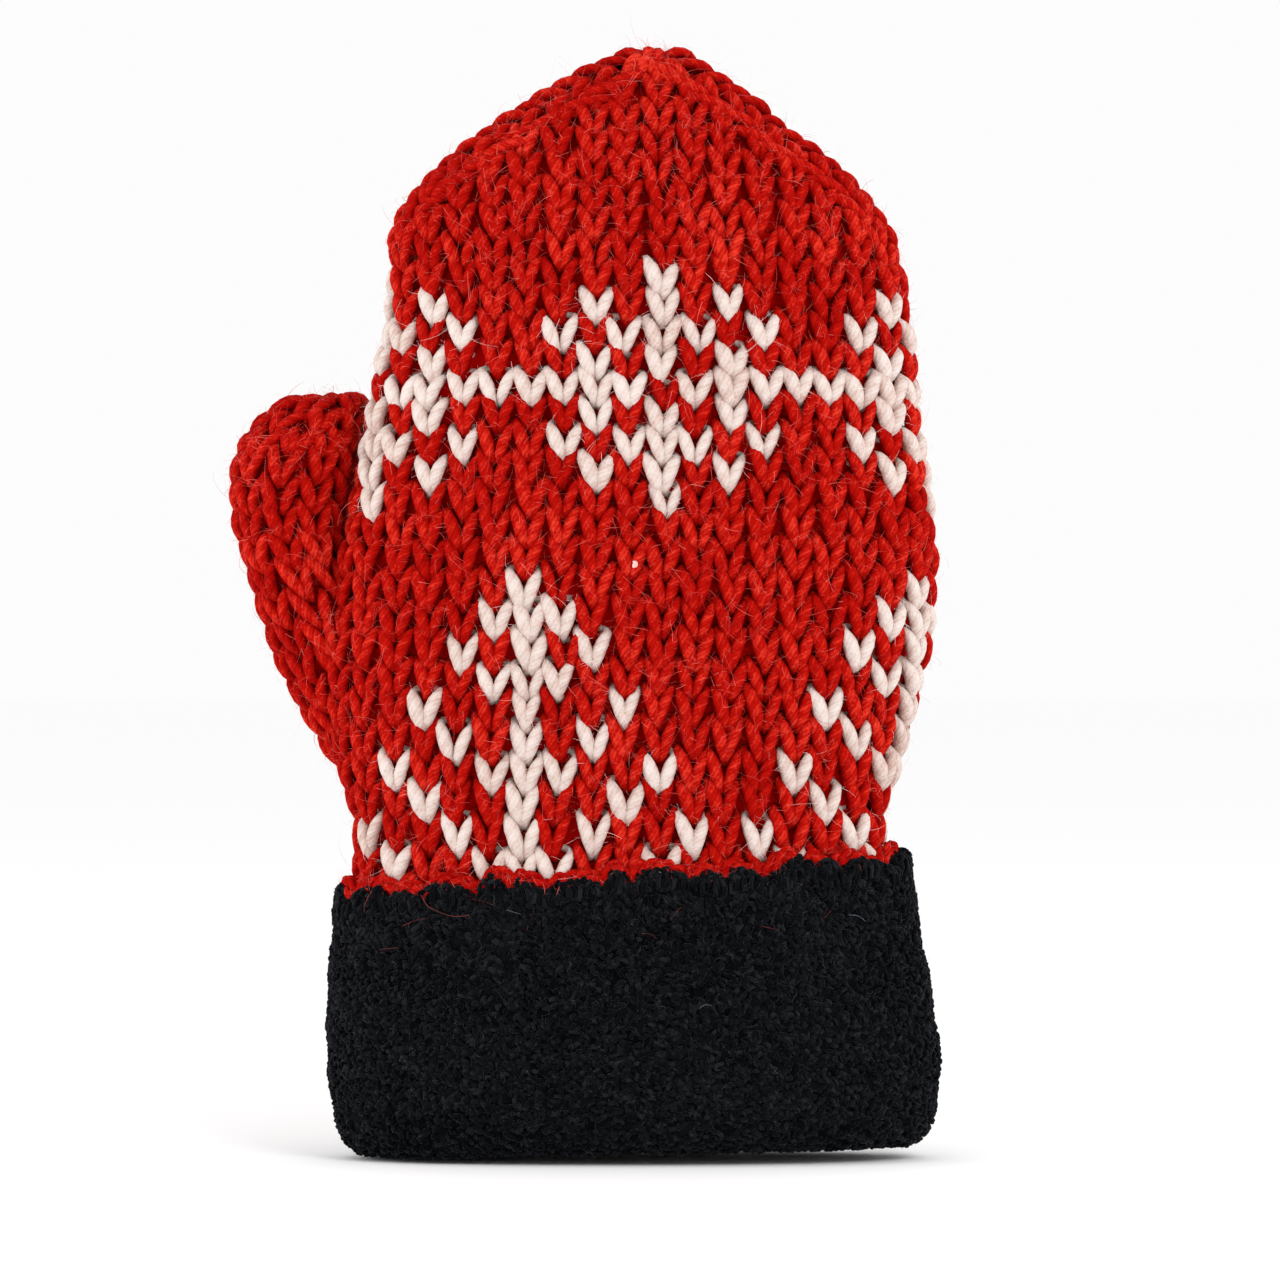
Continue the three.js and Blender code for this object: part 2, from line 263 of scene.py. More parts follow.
def tubes(paths, radius, sides, ply):
    """Vertices (m, k, sides, 3) of tubes along paths (m, k, 3), the way along, and directions out.

    ply grooves the tubes between their twisted strands."""
    tangent = np.gradient(paths, axis=1)
    tangent /= np.linalg.norm(tangent, axis=-1, keepdims=True) + 1e-9
    normal = np.empty_like(paths)
    aslant = np.array([0.31, 0.2, 0.93])  # any direction that no tube starts in
    start = np.cross(tangent[:, 0], aslant)
    normal[:, 0] = start / np.linalg.norm(start, axis=-1, keepdims=True)
    for k in range(1, paths.shape[1]):
        n = normal[:, k - 1] - (normal[:, k - 1] * tangent[:, k]).sum(-1, keepdims=True) * tangent[:, k]
        normal[:, k] = n / (np.linalg.norm(n, axis=-1, keepdims=True) + 1e-9)
    other = np.cross(tangent, normal)
    step = np.linalg.norm(np.diff(paths, axis=1), axis=-1)
    along = np.concatenate([np.zeros((len(paths), 1)), np.cumsum(step, axis=1)], axis=1)
    theta = np.arange(sides) * 2 * np.pi / sides
    groove = 1 + ply * np.cos(2 * (theta[None, None] - along[..., None] * 2 * np.pi / TWIST))
    reach = np.broadcast_to(radius, paths.shape[:2])[..., None] * groove
    ring = (
        normal[:, :, None] * np.cos(theta)[None, None, :, None]
        + other[:, :, None] * np.sin(theta)[None, None, :, None]
    )
    return paths[:, :, None] + ring * reach[..., None], along, ring


def corners(u0, u1, v0, v1):
    """The two map coordinates at the corners of each of tube_mesh's faces."""
    return np.stack([np.stack(corner, -1) for corner in ((u0, v0), (u0, v1), (u1, v1), (u1, v0))], 3)


def tube_mesh(name, paths, radius, sides=SIDES, ply=0.0, tone=None, outward=None):
    """A piece made of many separate tubes, with a UV map along the yarn and a bake map.

    Its lightness, given per tube or per point, lightens or darkens it, and outward adds painted shade: the
    sides that turn away from outward are darker, the side that faces it paler."""
    points, along, ring = tubes(paths, radius, sides, ply)
    m, k = paths.shape[:2]
    if tone is not None:
        tone = np.broadcast_to(np.reshape(tone, (m, -1, 1)), (m, k, sides))
        if outward is not None:
            # painted shade: the yarn is darker where it turns away from the fabric's outward direction
            tone = tone + PAINTED_SIDE_SHADE * ((ring * outward[:, :, None]).sum(-1) - 0.6)
    index = np.arange(m * k * sides).reshape(m, k, sides)
    right = np.roll(index, -1, axis=2)
    quads = np.stack([index[:, :-1], right[:, :-1], right[:, 1:], index[:, 1:]], -1).reshape(-1, 4)
    # the yarn map: along the yarn in cm, and round it
    side = np.arange(sides)
    v0 = np.broadcast_to(side / sides, (m, k - 1, sides))
    v1 = np.broadcast_to((side + 1) / sides, (m, k - 1, sides))
    u0 = np.broadcast_to(along[:, :-1, None] / 10, v0.shape)
    u1 = np.broadcast_to(along[:, 1:, None] / 10, v0.shape)
    uv = corners(u0, u1, v0, v1)
    # the bake map: a cell for each tube
    grid = int(math.ceil(math.sqrt(m * 3)))
    wide = max(1, grid // 3)
    high = int(math.ceil(m / wide))
    cell = np.stack([np.arange(m) % wide, np.arange(m) // wide], -1)[:, None, None, None, :]
    u = np.broadcast_to((np.arange(k - 1) / (k - 1))[None, :, None], v0.shape)
    w = np.broadcast_to(((np.arange(k - 1) + 1) / (k - 1))[None, :, None], v0.shape)
    bake = (cell + GUTTER + corners(u, w, v0, v1) * (1 - 2 * GUTTER)) / np.array([wide, high])
    return mesh_piece(
        name, points.reshape(-1, 3), quads, caps=(index[:, 0, ::-1], index[:, -1]),
        uvs={"yarn": uv.reshape(-1, 2), "OFBake": bake.reshape(-1, 2)},
        tone=None if tone is None else tone.ravel(),
    )


def mesh_piece(name, points, quads, caps=(), uvs=None, tone=None):
    """A new object from vertices in mm, four-cornered faces and rings that close tube ends."""
    mesh = bpy.data.meshes.new(name)
    caps = [np.asarray(c) for c in caps]
    counts = [np.full(len(quads), quads.shape[1])] + [np.full(len(c), c.shape[1]) for c in caps]
    loops = np.concatenate([quads.ravel()] + [c.ravel() for c in caps]).astype(np.int32)
    total = np.concatenate(counts).astype(np.int32)
    start = np.concatenate([[0], np.cumsum(total)[:-1]]).astype(np.int32)
    mesh.vertices.add(len(points))
    mesh.vertices.foreach_set("co", (points * MM).astype(np.float32).ravel())
    mesh.loops.add(len(loops))
    mesh.loops.foreach_set("vertex_index", loops)
    mesh.polygons.add(len(total))
    mesh.polygons.foreach_set("loop_start", start)
    mesh.polygons.foreach_set("loop_total", total)
    mesh.polygons.foreach_set("use_smooth", np.ones(len(total), bool))
    for layer, uv in (uvs or {}).items():
        full = np.zeros((len(loops), 2), np.float32)
        full[: len(uv)] = uv
        mesh.uv_layers.new(name=layer).data.foreach_set("uv", full.ravel())
    if tone is not None:
        mesh.attributes.new("tone", "FLOAT", "POINT").data.foreach_set("value", tone.astype(np.float32))
    mesh.update(calc_edges=True)
    mesh.validate()
    piece = bpy.data.objects.new(name, mesh)
    bpy.context.scene.collection.objects.link(piece)
    return piece


JITTER = 0.05  # unevenness of the stitches, in stitches and rows
LEGS = slice(3, 8), slice(11, 16)  # the points of a stitch's two legs
FRONT = slice(3, 16)  # all its points in front of the fabric


def stitch_paths(place, columns, rows_z, heights, yarn, reach):
    """Loop paths for stitches at (column, z) places. place(column, z, out) gives points."""
    m = len(columns)
    loop = np.concatenate([LOOP, (LOOP * SECOND_LEG)[-2::-1]])
    thick = np.concatenate([LOOP_THICK, LOOP_THICK[-2::-1] * SECOND_LEG_THICK])
    control = np.repeat(loop[None] * [1, reach, 1], m, axis=0)
    control[:, :, 0] += RNG.normal(0, JITTER, (m, 1)) * 0.7
    for leg in LEGS:
        control[:, leg, :2] += RNG.normal(0, JITTER, (m, 1, 2))
    control[:, FRONT, 2] += RNG.normal(0, 0.16, (m, 1)) + (yarn - 1) * 0.9
    control[:, LEGS[0], 2] += RNG.normal(0, 0.12, (m, 1))
    path = spline(control, SEGMENTS)
    radius = spline(np.repeat(thick[None, :, None], m, axis=0), SEGMENTS)[..., 0]
    radius = radius * yarn * RNG.normal(1, 0.06, (m, 1))
    column = columns[:, None] + path[..., 0]
    z = rows_z[:, None] + path[..., 1] * heights[:, None]
    # the columns and rows waver a little
    column = column + 0.07 * np.sin(z / 21 + 1.7) + 0.05 * np.sin(z / 8.3 + columns[:, None] * 0.9)
    z = z + 0.4 * np.sin(columns[:, None] * 0.8 + z / 31)
    points, normals = place(column, z, path[..., 2])
    return points, radius, normals


def hand_place(column, z, out):
    """Places counted in stitches round the hand."""
    return HAND_TUBE.at(hand_share(column, z), z, out)


CROWN_END = 206.2  # the highest that the edge's stitches go


def edge_stretch(edge, z):
    """How much longer the crown's sloping edge is than it is high."""
    rise = 0.6
    step = HAND_TUBE.at(edge, z + rise)[0] - HAND_TUBE.at(edge, z - rise)[0]
    return np.clip(np.linalg.norm(step, axis=-1) / (2 * rise), 1, 2.1)


def edge_place(edge, side):
    """Places counted in stitches from the crown's edge, square to the edge's slope."""
    def place(column, z, out):
        z = np.minimum(z, CROWN_END)
        away = column * PITCH * 0.9 * edge_stretch(edge, z) / HAND_TUBE.around(z)
        return HAND_TUBE.at(edge + side * np.clip(away, -0.22, 0.22), z, out + 0.35)
    return place


def edge_rows(edge, spacing):
    """Heights of stitches that are evenly spaced along the crown's sloping edge."""
    z = np.linspace(CROWN_Z - 1.5, CROWN_END + 0.2, 300)
    step = np.linalg.norm(np.diff(HAND_TUBE.at(edge, z)[0], axis=0), axis=-1)
    length = np.concatenate([[0], np.cumsum(step)])
    return np.interp(np.linspace(0, length[-1], round(length[-1] / spacing) + 1), length, z)


def crown_place(face):
    """Places counted in stitches from the middle of one face. They run straight up."""
    def place(column, z, out):
        share = np.interp(z, *MIDDLE_SHARE) + column * CROWN_PITCH[face] / HAND_TUBE.around(z)
        return HAND_TUBE.at(share if face == "back" else 1 - share, z, out)
    return place


def thumb_place(count):
    """Places counted in stitches round the thumb, where count of them go round."""
    def place(column, z, out):
        return THUMB_TUBE.at(column / count, z, out)
    return place


stitches = {}  # lists of paths, by colour and face
EDGE_BAND = 0.75  # how far in from the crown's edge the face's own stitches start, in stitches


def add_stitches(key, place, columns, z, height):
    """Add one row's stitches of one colour and face."""
    columns = np.asarray(columns, float)
    if len(columns):
        n = len(columns)
        paths = stitch_paths(place, columns, np.full(n, z), np.full(n, height), YARN[key[0]], REACH[key[0]])
        stitches.setdefault(key, []).append(paths)


BACK_START, BACK_END = edges_of(CROWN_Z)
BACK_STITCHES = BACK_END - BACK_START
CROWN_PITCH = {"back": PITCH, "palm": PITCH * BACK_STITCHES / (AROUND - BACK_STITCHES)}
PALM_SHARE = 0.5 - np.interp(CROWN_Z, *MIDDLE_SHARE)
PALM_MIDDLE = BACK_END + PALM_SHARE * HAND_TUBE.around(CROWN_Z) / CROWN_PITCH["palm"]
columns = np.arange(AROUND)
for row, (z, height) in enumerate(zip(ROWS[:-1], np.diff(ROWS))):
    if row < CROWN:
        white = np.array([is_white(row, c) for c in columns])
        in_back = hand_share(columns.astype(float), np.full(AROUND, z + height / 2)) < 0.5
        for colour, coloured in (("white", white), ("red", ~white)):
            for face, in_face in (("back", in_back), ("palm", ~in_back)):
                add_stitches((colour, face), hand_place, columns[coloured & in_face], z, height)
        continue
    for face in ("back", "palm"):
        middle_of_row = z + height * 0.7
        round_way = HAND_TUBE.around(middle_of_row) / CROWN_PITCH[face]
        middle = np.interp(middle_of_row, *MIDDLE_SHARE)
        offset = 0.0 if face == "back" else PALM_MIDDLE - round(PALM_MIDDLE)
        thumb_side = EDGE_BAND * float(edge_stretch(0.0, middle_of_row))
        finger_side = EDGE_BAND * float(edge_stretch(0.5, middle_of_row))
        first = math.ceil(thumb_side - middle * round_way - offset)
        last = math.floor((0.5 - middle) * round_way - finger_side - offset)
        add_stitches(("red", face), crown_place(face), np.arange(first, last + 1) + offset, z, height)

# Bands of stitches along the crown's edges: one on each edge, and one beside it on each face
for face, edge, side, column in (
    ("back", 0.0, 1, 0.0), ("back", 0.5, -1, 0.0),
    ("back", 0.0, 1, 0.98), ("back", 0.5, -1, 0.98), ("palm", 1.0, -1, 0.98), ("palm", 0.5, 1, 0.98),
):
    heights = edge_rows(edge, 5.0 if column else 4.3)
    for z, height in zip(heights[:-1], np.diff(heights)):
        add_stitches(("red", face), edge_place(edge, side), [column], z, height)

THUMB_ROWS = np.concatenate([np.arange(68.0, 132, 5.3), [131.6, 135.6, 138.6, 141.0]])
THUMB_SPLIT = 105  # height at which its stitches change from the lower piece to the upper
LEAST_ROW = 3.2
for z, height in zip(THUMB_ROWS[:-1], np.diff(THUMB_ROWS)):
    count = int(np.clip(round(THUMB_TUBE.around(z + height) / PITCH), 4, 12))
    pick = np.arange(count) + 0.5
    middle = thumb_place(count)(pick, np.full(count, z + height / 2), np.zeros(count))[0]
    key = ("red", "thumb_lower" if z < THUMB_SPLIT else "thumb_upper")
    add_stitches(key, thumb_place(count), pick[~inside(HAND, 1.2, middle)], z, max(height, LEAST_ROW))


# ------------------------ materials
class Shading:
    """A new material, with short calls for the kinds of node used here."""

    def __init__(self, name):
        self.material = bpy.data.materials.new(name)
        self.material.use_nodes = True
        self.nodes = self.material.node_tree.nodes
        self.links = self.material.node_tree.links
        self.shader = self.nodes["Principled BSDF"]

    def math(self, operation, *values, clamp=False):
        """The result of one operation on outputs and numbers."""
        node = self.nodes.new("ShaderNodeMath")
        node.operation = operation
        node.use_clamp = clamp
        for socket, value in zip(node.inputs, values):
            if isinstance(value, (int, float)):
                socket.default_value = value
            else:
                self.links.new(value, socket)
        return node.outputs[0]

    def sum(self, *terms, plus=0.0, clamp=False):
        """The sum of (output, weight) terms and a number."""
        total = plus
        for count, (output, weight) in enumerate(terms, 1):
            term = self.math("MULTIPLY", output, weight)
            total = self.math("ADD", term, total, clamp=clamp and count == len(terms))
        return total

    def place(self):
        return self.nodes.new("ShaderNodeTexCoord").outputs["Object"]

    def noise(self, vector, scale, detail):
        node = self.nodes.new("ShaderNodeTexNoise")
        node.inputs["Scale"].default_value = scale
        node.inputs["Detail"].default_value = detail
        self.links.new(vector, node.inputs["Vector"])
        return node.outputs["Fac"]

    def tone(self):
        """The piece's own lightness attribute, which is 0 where it has none: lightness that differs from
        tube to tube, with painted shade on the stitches' yarn and painted highlight on the fleece's nubs.
        """
        node = self.nodes.new("ShaderNodeAttribute")
        node.attribute_name = "tone"
        return node.outputs["Fac"]

    def colour(self, level, *stops):
        """The base colour, from a ramp with (position, colour) stops."""
        node = self.nodes.new("ShaderNodeValToRGB")
        elements = node.color_ramp.elements
        for element, (position, colour) in zip(elements, (stops[0], stops[-1])):
            element.position = position
            element.color = (*colour, 1)
        for position, colour in stops[1:-1]:
            elements.new(position).color = (*colour, 1)
        self.links.new(level, node.inputs[0])
        self.links.new(node.outputs[0], self.shader.inputs["Base Color"])

    def roughness(self, level):
        self.links.new(level, self.shader.inputs["Roughness"])

    def bump(self, height, strength, distance):
        node = self.nodes.new("ShaderNodeBump")
        node.inputs["Strength"].default_value = strength
        node.inputs["Distance"].default_value = distance
        self.links.new(height, node.inputs["Height"])
        self.links.new(node.outputs[0], self.shader.inputs["Normal"])

    def sheen(self, weight, roughness, tint, specular):
        """The fabric's sheen, and the level of its specular light."""
        self.shader.inputs["Sheen Weight"].default_value = weight
        self.shader.inputs["Sheen Roughness"].default_value = roughness
        self.shader.inputs["Sheen Tint"].default_value = (*tint, 1)
        self.shader.inputs["Specular IOR Level"].default_value = specular


PLY_TURNS = 10 / TWIST  # of the two strands, to a cm of yarn
FIBRE_LINES, FIBRE_TURNS = 7, 11  # fine lines round the yarn, and how many pass in a cm of it


def yarn_material(name, dark, mid, light, sheen):
    """Plied wool: twisted strands, fine fibres along them, and flecks of lighter fibre."""
    wool = Shading(name)
    yarn_map = wool.nodes.new("ShaderNodeUVMap")
    yarn_map.uv_map = "yarn"
    split = wool.nodes.new("ShaderNodeSeparateXYZ")
    wool.links.new(yarn_map.outputs[0], split.inputs[0])
    along, turn = split.outputs[0], split.outputs[1]
    place = wool.place()
    blotch = wool.noise(place, 90, 2)
    fleck = wool.noise(place, 1500, 4)
    ply = wool.math("COSINE", wool.sum((turn, 4 * math.pi), (along, -4 * math.pi * PLY_TURNS)))
    lines = ((turn, 2 * math.pi * FIBRE_LINES), (along, -2 * math.pi * FIBRE_TURNS), (fleck, 6.6))
    fibre = wool.math("SINE", wool.sum(*lines))
    # painted shade: ply darkens the colour in the grooves between the two strands; the lightness attribute
    # brings in the painted shade or highlight that a piece carries
    level = wool.sum((ply, 0.08), (fibre, 0.07), (fleck, 0.5), (blotch, 0.3), (wool.tone(), 1.0),
                     plus=-0.4, clamp=True)
    wool.colour(level, (0.12, dark), (0.5, mid), (0.9, light))
    wool.roughness(wool.sum((fleck, 0.25), plus=0.68))
    wool.bump(wool.sum((ply, 0.25), (fibre, 0.1), (fleck, 1.4)), 0.5, 0.4 * MM)
    wool.sheen(sheen, 0.5, light, 0.02)
    return wool.material


def fibre_material(name, dark, light):
    """Loose single fibres, each a little different."""
    fibre = Shading(name)
    level = fibre.noise(fibre.place(), 400, 1)
    fibre.colour(level, (0.35, dark), (0.7, light))
    fibre.roughness(fibre.sum((level, 0.3), plus=0.5))
    return fibre.material


def pile_material(name, dark, light, grain, sheen):
    """Brushed fabric in clumps of darker and paler pile. A piece's lightness attribute, if it has one,
    lightens it; on the fleece's nubs it is painted highlight that leaves their roots dark and their tips
    paler.
    """
    pile = Shading(name)
    place = pile.place()
    clump = pile.noise(place, grain * 0.45, 2)
    hair = pile.noise(place, grain * 3, 4)
    wash = pile.noise(place, 40, 2)
    level = pile.sum((clump, 0.45), (hair, 0.3), (wash, 0.25), (pile.tone(), 0.5), clamp=True)
    pile.colour(level, (0.4, dark), (0.95, light))
    pile.roughness(pile.sum((hair, 0.2), plus=0.72))
    pile.bump(pile.math("ADD", hair, clump), 0.6, 0.3 * MM)
    pile.sheen(sheen, 0.35, (0.55, 0.62, 0.8), 0.04)
    return pile.material


RED = yarn_material("red_wool", (0.22, 0.0003, 0.0002), (0.4, 0.0045, 0.002), (0.82, 0.05, 0.026), 0.01)
# WHITE's dark end is pink: partly the red fuzz over the white yarn, partly painted shade tinted by light
# bounced off the red wool
WHITE = yarn_material("white_wool", (0.5, 0.32, 0.27), (0.67, 0.56, 0.51), (0.77, 0.7, 0.66), 0.02)
THREAD = yarn_material("seam_thread", (0.004, 0.004, 0.005), (0.01, 0.01, 0.012), (0.03, 0.03, 0.034), 0.02)
BACKING = pile_material("red_wool_inside", (0.4, 0.0003, 0.0002), (0.85, 0.001, 0.0006), 500, 0.0)
FLEECE = pile_material("black_fleece", (0.0006, 0.0007, 0.0008), (0.0115, 0.0124, 0.0142), 900, 0.1)
RED_FIBRE = fibre_material("red_wool_fibre", (0.55, 0.012, 0.008), (0.86, 0.16, 0.12))
WHITE_FIBRE = fibre_material("white_wool_fibre", (0.85, 0.45, 0.4), (0.93, 0.86, 0.82))
FLEECE_FIBRE = fibre_material("black_fleece_fibre", (0.002, 0.002, 0.0025), (0.045, 0.048, 0.055))
LINT = fibre_material("lint", (0.07, 0.085, 0.12), (0.2, 0.22, 0.26))
RED_LINT = fibre_material("red_lint", (0.08, 0.004, 0.003), (0.2, 0.02, 0.014))


def finish_piece(piece, material, bodies, blend=None, stands_for=()):
    """Give a piece its material; attach it to the body it rides on, or, if it has a fold between two bodies,
    keep it fixed where it is; and hide the CAD nodes it stands for.
    """
    piece.data.materials.append(material)
    if blend:
        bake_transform(piece)
    else:
        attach(piece, bodies)
    if stands_for:
        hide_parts(*stands_for)
    return piece


# Where each fold in the fabric begins and ends
KNUCKLE_BLEND = ((9.5, 0, 90), (9.5, 0, 134))
LINING_BLEND = ((9.5, 0, 98), (9.5, 0, 126))
SPREAD_BLEND = ((-50, 8, 76), (-56, 8, 106))
THUMB_BLEND = ((-55, 8, 107), (-55, 8, 131))
FINGERS = ("hand", "fingers")
REPLACED = {  # the CAD solids that each group of stitches stands for
    ("red", "back"): ("knit_hand", "knit_fingers"),
    ("red", "thumb_lower"): ("knit_thumb_gusset", "knit_thumb_lower"),
    ("red", "thumb_upper"): ("knit_thumb",),
}
WHERE = {
    "back": (FINGERS, KNUCKLE_BLEND),
    "palm": (FINGERS, KNUCKLE_BLEND),
    "thumb_lower": (("hand", "thumb_base"), SPREAD_BLEND),
    "thumb_upper": (("thumb_base", "thumb"), THUMB_BLEND),
}


def fibres(points, radius, normals, count, length, width, longest=7, steps=5, span=(6, SEGMENTS - 6)):
    """Edges of ribbons for loose fibres that stand out of yarn between two of its points."""
    m = RNG.integers(0, len(points), count)
    k = RNG.integers(*span, count)
    normal = normals[m, k]
    wander = RNG.normal(0, 1, (count, 3))
    wander -= (wander * normal).sum(-1, keepdims=True) * normal
    wander /= np.linalg.norm(wander, axis=-1, keepdims=True)
    lean = RNG.uniform(0.1, 1.0, (count, 1)) ** 1.5
    start = points[m, k] + normal * radius[m, k][:, None] * 0.8
    size = (RNG.lognormal(0, 0.6, (count, 1)) * length).clip(0.5, longest)
    curl = np.cross(wander, normal) * RNG.normal(0, 0.5, (count, 1))
    t = np.linspace(0, 1, steps)[None, :, None]
    rise = (lean * 1.3)[:, None] * t * (1 - 0.55 * t)
    shape = wander[:, None] * t + curl[:, None] * t**2 + normal[:, None] * rise
    path = start[:, None] + shape * size[:, None]
    side = np.cross(wander, normal + RNG.normal(0, 0.5, (count, 3)))
    side /= np.linalg.norm(side, axis=-1, keepdims=True)
    coarse = RNG.choice([0.7, 1.0, 1.6], (count, 1, 1), p=[0.5, 0.35, 0.15])
    half = side[:, None] * width / 2 * coarse * (1 - 0.6 * t)
    return np.stack([path - half, path + half], axis=2)


def ribbon_mesh(name, edges):
    """A piece of many flat ribbons from their two edges (m, steps, 2, 3)."""
    m, k = edges.shape[:2]
    index = np.arange(m * k * 2).reshape(m, k, 2)
    near, far = index[:, :-1], index[:, 1:]
    quads = np.stack([near[..., 0], far[..., 0], far[..., 1], near[..., 1]], -1).reshape(-1, 4)
    wide = int(math.ceil(math.sqrt(m)))
    cell = np.stack([np.arange(m) % wide, np.arange(m) // wide], -1)[:, None, None]
    step = np.arange(k - 1)[None, :, None]
    corner = np.array([[0, 0], [1, 0], [1, 1], [0, 1]], float)
    u = (step + corner[None, None, :, 0]) / (k - 1)
    v = corner[None, None, :, 1]
    bake = np.stack([np.broadcast_to(u, (m, k - 1, 4)), np.broadcast_to(v, (m, k - 1, 4))], -1)
    bake = (cell + 0.1 + 0.8 * bake) / wide
    return mesh_piece(name, edges.reshape(-1, 3), quads, uvs={"OFBake": bake.reshape(-1, 2)})


FUZZ = {"red": 30, "white": 28}  # loose fibres to a stitch
FUZZ_LENGTH, FUZZ_WIDTH = 1.6, 0.055
FINISH = {"red": (RED, RED_FIBRE, "red_wool"), "white": (WHITE, WHITE_FIBRE, "white_wool")}
for (colour, face), parts in stitches.items():
    points, radius, normals = (np.concatenate(arrays) for arrays in zip(*parts))
    # lightness that differs at random from stitch to stitch, with painted shade added on the yarn's sides
    # through outward
    tone = RNG.normal(0.4, 0.05, len(points))
    piece = tube_mesh(f"{colour}_stitches_{face}", points, radius, ply=0.025, tone=tone, outward=normals)
    material, fibre, slot = FINISH[colour]
    bodies, blend = WHERE[face]
    finish_piece(piece, material, bodies, blend, REPLACED.get((colour, face), ()))
    fuzz = fibres(points, radius, normals, int(len(points) * FUZZ[colour]), FUZZ_LENGTH, FUZZ_WIDTH)
    finish_piece(ribbon_mesh(f"{colour}_fibres_{face}", fuzz), fibre, bodies, blend)


# ------------------------ sheets of fabric
def sheet_mesh(name, points, keep=None, thickness=None, wrap=False):
    """A piece from a grid of points (rows, columns, 3). keep says which of its faces are there."""
    rows, cols = points.shape[:2]
    index = np.arange(rows * cols).reshape(rows, cols)
    right = np.roll(index, -1, axis=1) if wrap else index[:, 1:]
    left = index if wrap else index[:, :-1]
    quads = np.stack([left[:-1], right[:-1], right[1:], left[1:]], -1).reshape(-1, 4)
    if keep is not None:
        quads = quads[keep(points.reshape(-1, 3)[quads].mean(axis=1))]
    piece = mesh_piece(name, points.reshape(-1, 3), quads)
    if thickness:
        solidify = piece.modifiers.new("thickness", "SOLIDIFY")
        solidify.thickness, solidify.offset = thickness * MM, -1
        bpy.context.view_layer.update()
        solid = bpy.data.meshes.new_from_object(piece.evaluated_get(bpy.context.evaluated_depsgraph_get()))
        piece.modifiers.clear()
        piece.data = solid
    return piece


def tube_grid(tube, heights, columns, out=0.0, closed=False):
    """A grid of points on a tube, drawn together over its top if it is closed."""
    share = np.linspace(0, 1, columns, endpoint=False)
    grid = tube.at(share[None], np.asarray(heights, float)[:, None], out)[0]
    if closed:
        middle = grid[-1].mean(axis=0)
        away = grid[-1] - middle
        grid = np.concatenate([grid, [middle + away * reach + [0, 0, 1 - reach] for reach in (0.6, 0.1)]])
    return grid


def outside_of(table, inset, middle_y=None):
    """Keeps the faces that lie outside an outline moved in by inset."""
    def keep(middles):
        return ~inside(table, inset, middles, middle_y)
    return keep


ROUND = 180  # points round the knitting's inside
heights = np.arange(5, 204.5, 1.5)
purl = 0.3 * np.sin(heights / 5.2 * 2 * np.pi)[:, None] * np.cos(np.arange(ROUND) * np.pi)[None]
grid = tube_grid(Tube(HAND, inset=2.7), heights, ROUND, purl, closed=True)
backing = sheet_mesh("knit_inside", grid, keep=outside_of(THUMB, 2.6, thumb_y), wrap=True)
finish_piece(backing, BACKING, FINGERS, KNUCKLE_BLEND)

THUMB_KNIT = Tube(THUMB, inset=2.1, middle_y=thumb_y)
for part, heights in (("lower", np.arange(68, 107, 1.5)), ("upper", np.arange(105.5, 142, 1.5))):
    bodies, blend = WHERE["thumb_" + part]
    grid = tube_grid(THUMB_KNIT, heights, 60, closed=part == "upper")
    backing = sheet_mesh(f"thumb_knit_inside_{part}", grid, keep=outside_of(HAND, 1.5), wrap=True)
    finish_piece(backing, BACKING, bodies, blend)

# ------------------------ fleece
CUFF_TUBE = Tube(CUFF)
CAVITY_TUBE = Tube(HAND, inset=CAVITY)
SHELL_TUBE = Tube(HAND, inset=-0.5)
FOLD = 9.0  # height at which the cuff starts to turn under
LINING_TOP = 197
SCALLOP = 8.2  # distance between the stitches that hold the cuff's edge


def cuff_edge(share):
    """Height of the cuff's edge, scalloped where yarn pulls it in, and how far each scallop puffs out."""
    x = CUFF_TUBE.at(share, CUFF_TOP)[0][..., 0]
    arc = share * CUFF_TUBE.around(CUFF_TOP)
    puff = np.abs(np.sin(np.pi * (arc / SCALLOP + 0.22 * np.sin(arc * 0.31))))
    height = CUFF_TOP + CUFF_SLANT * x - 1.9 - 0.8 * np.clip((-30 - x) / 15, 0, 1)
    return height + (2.0 + 0.7 * np.sin(arc * 0.21)) * puff + 0.35 * np.sin(arc * 0.53), puff


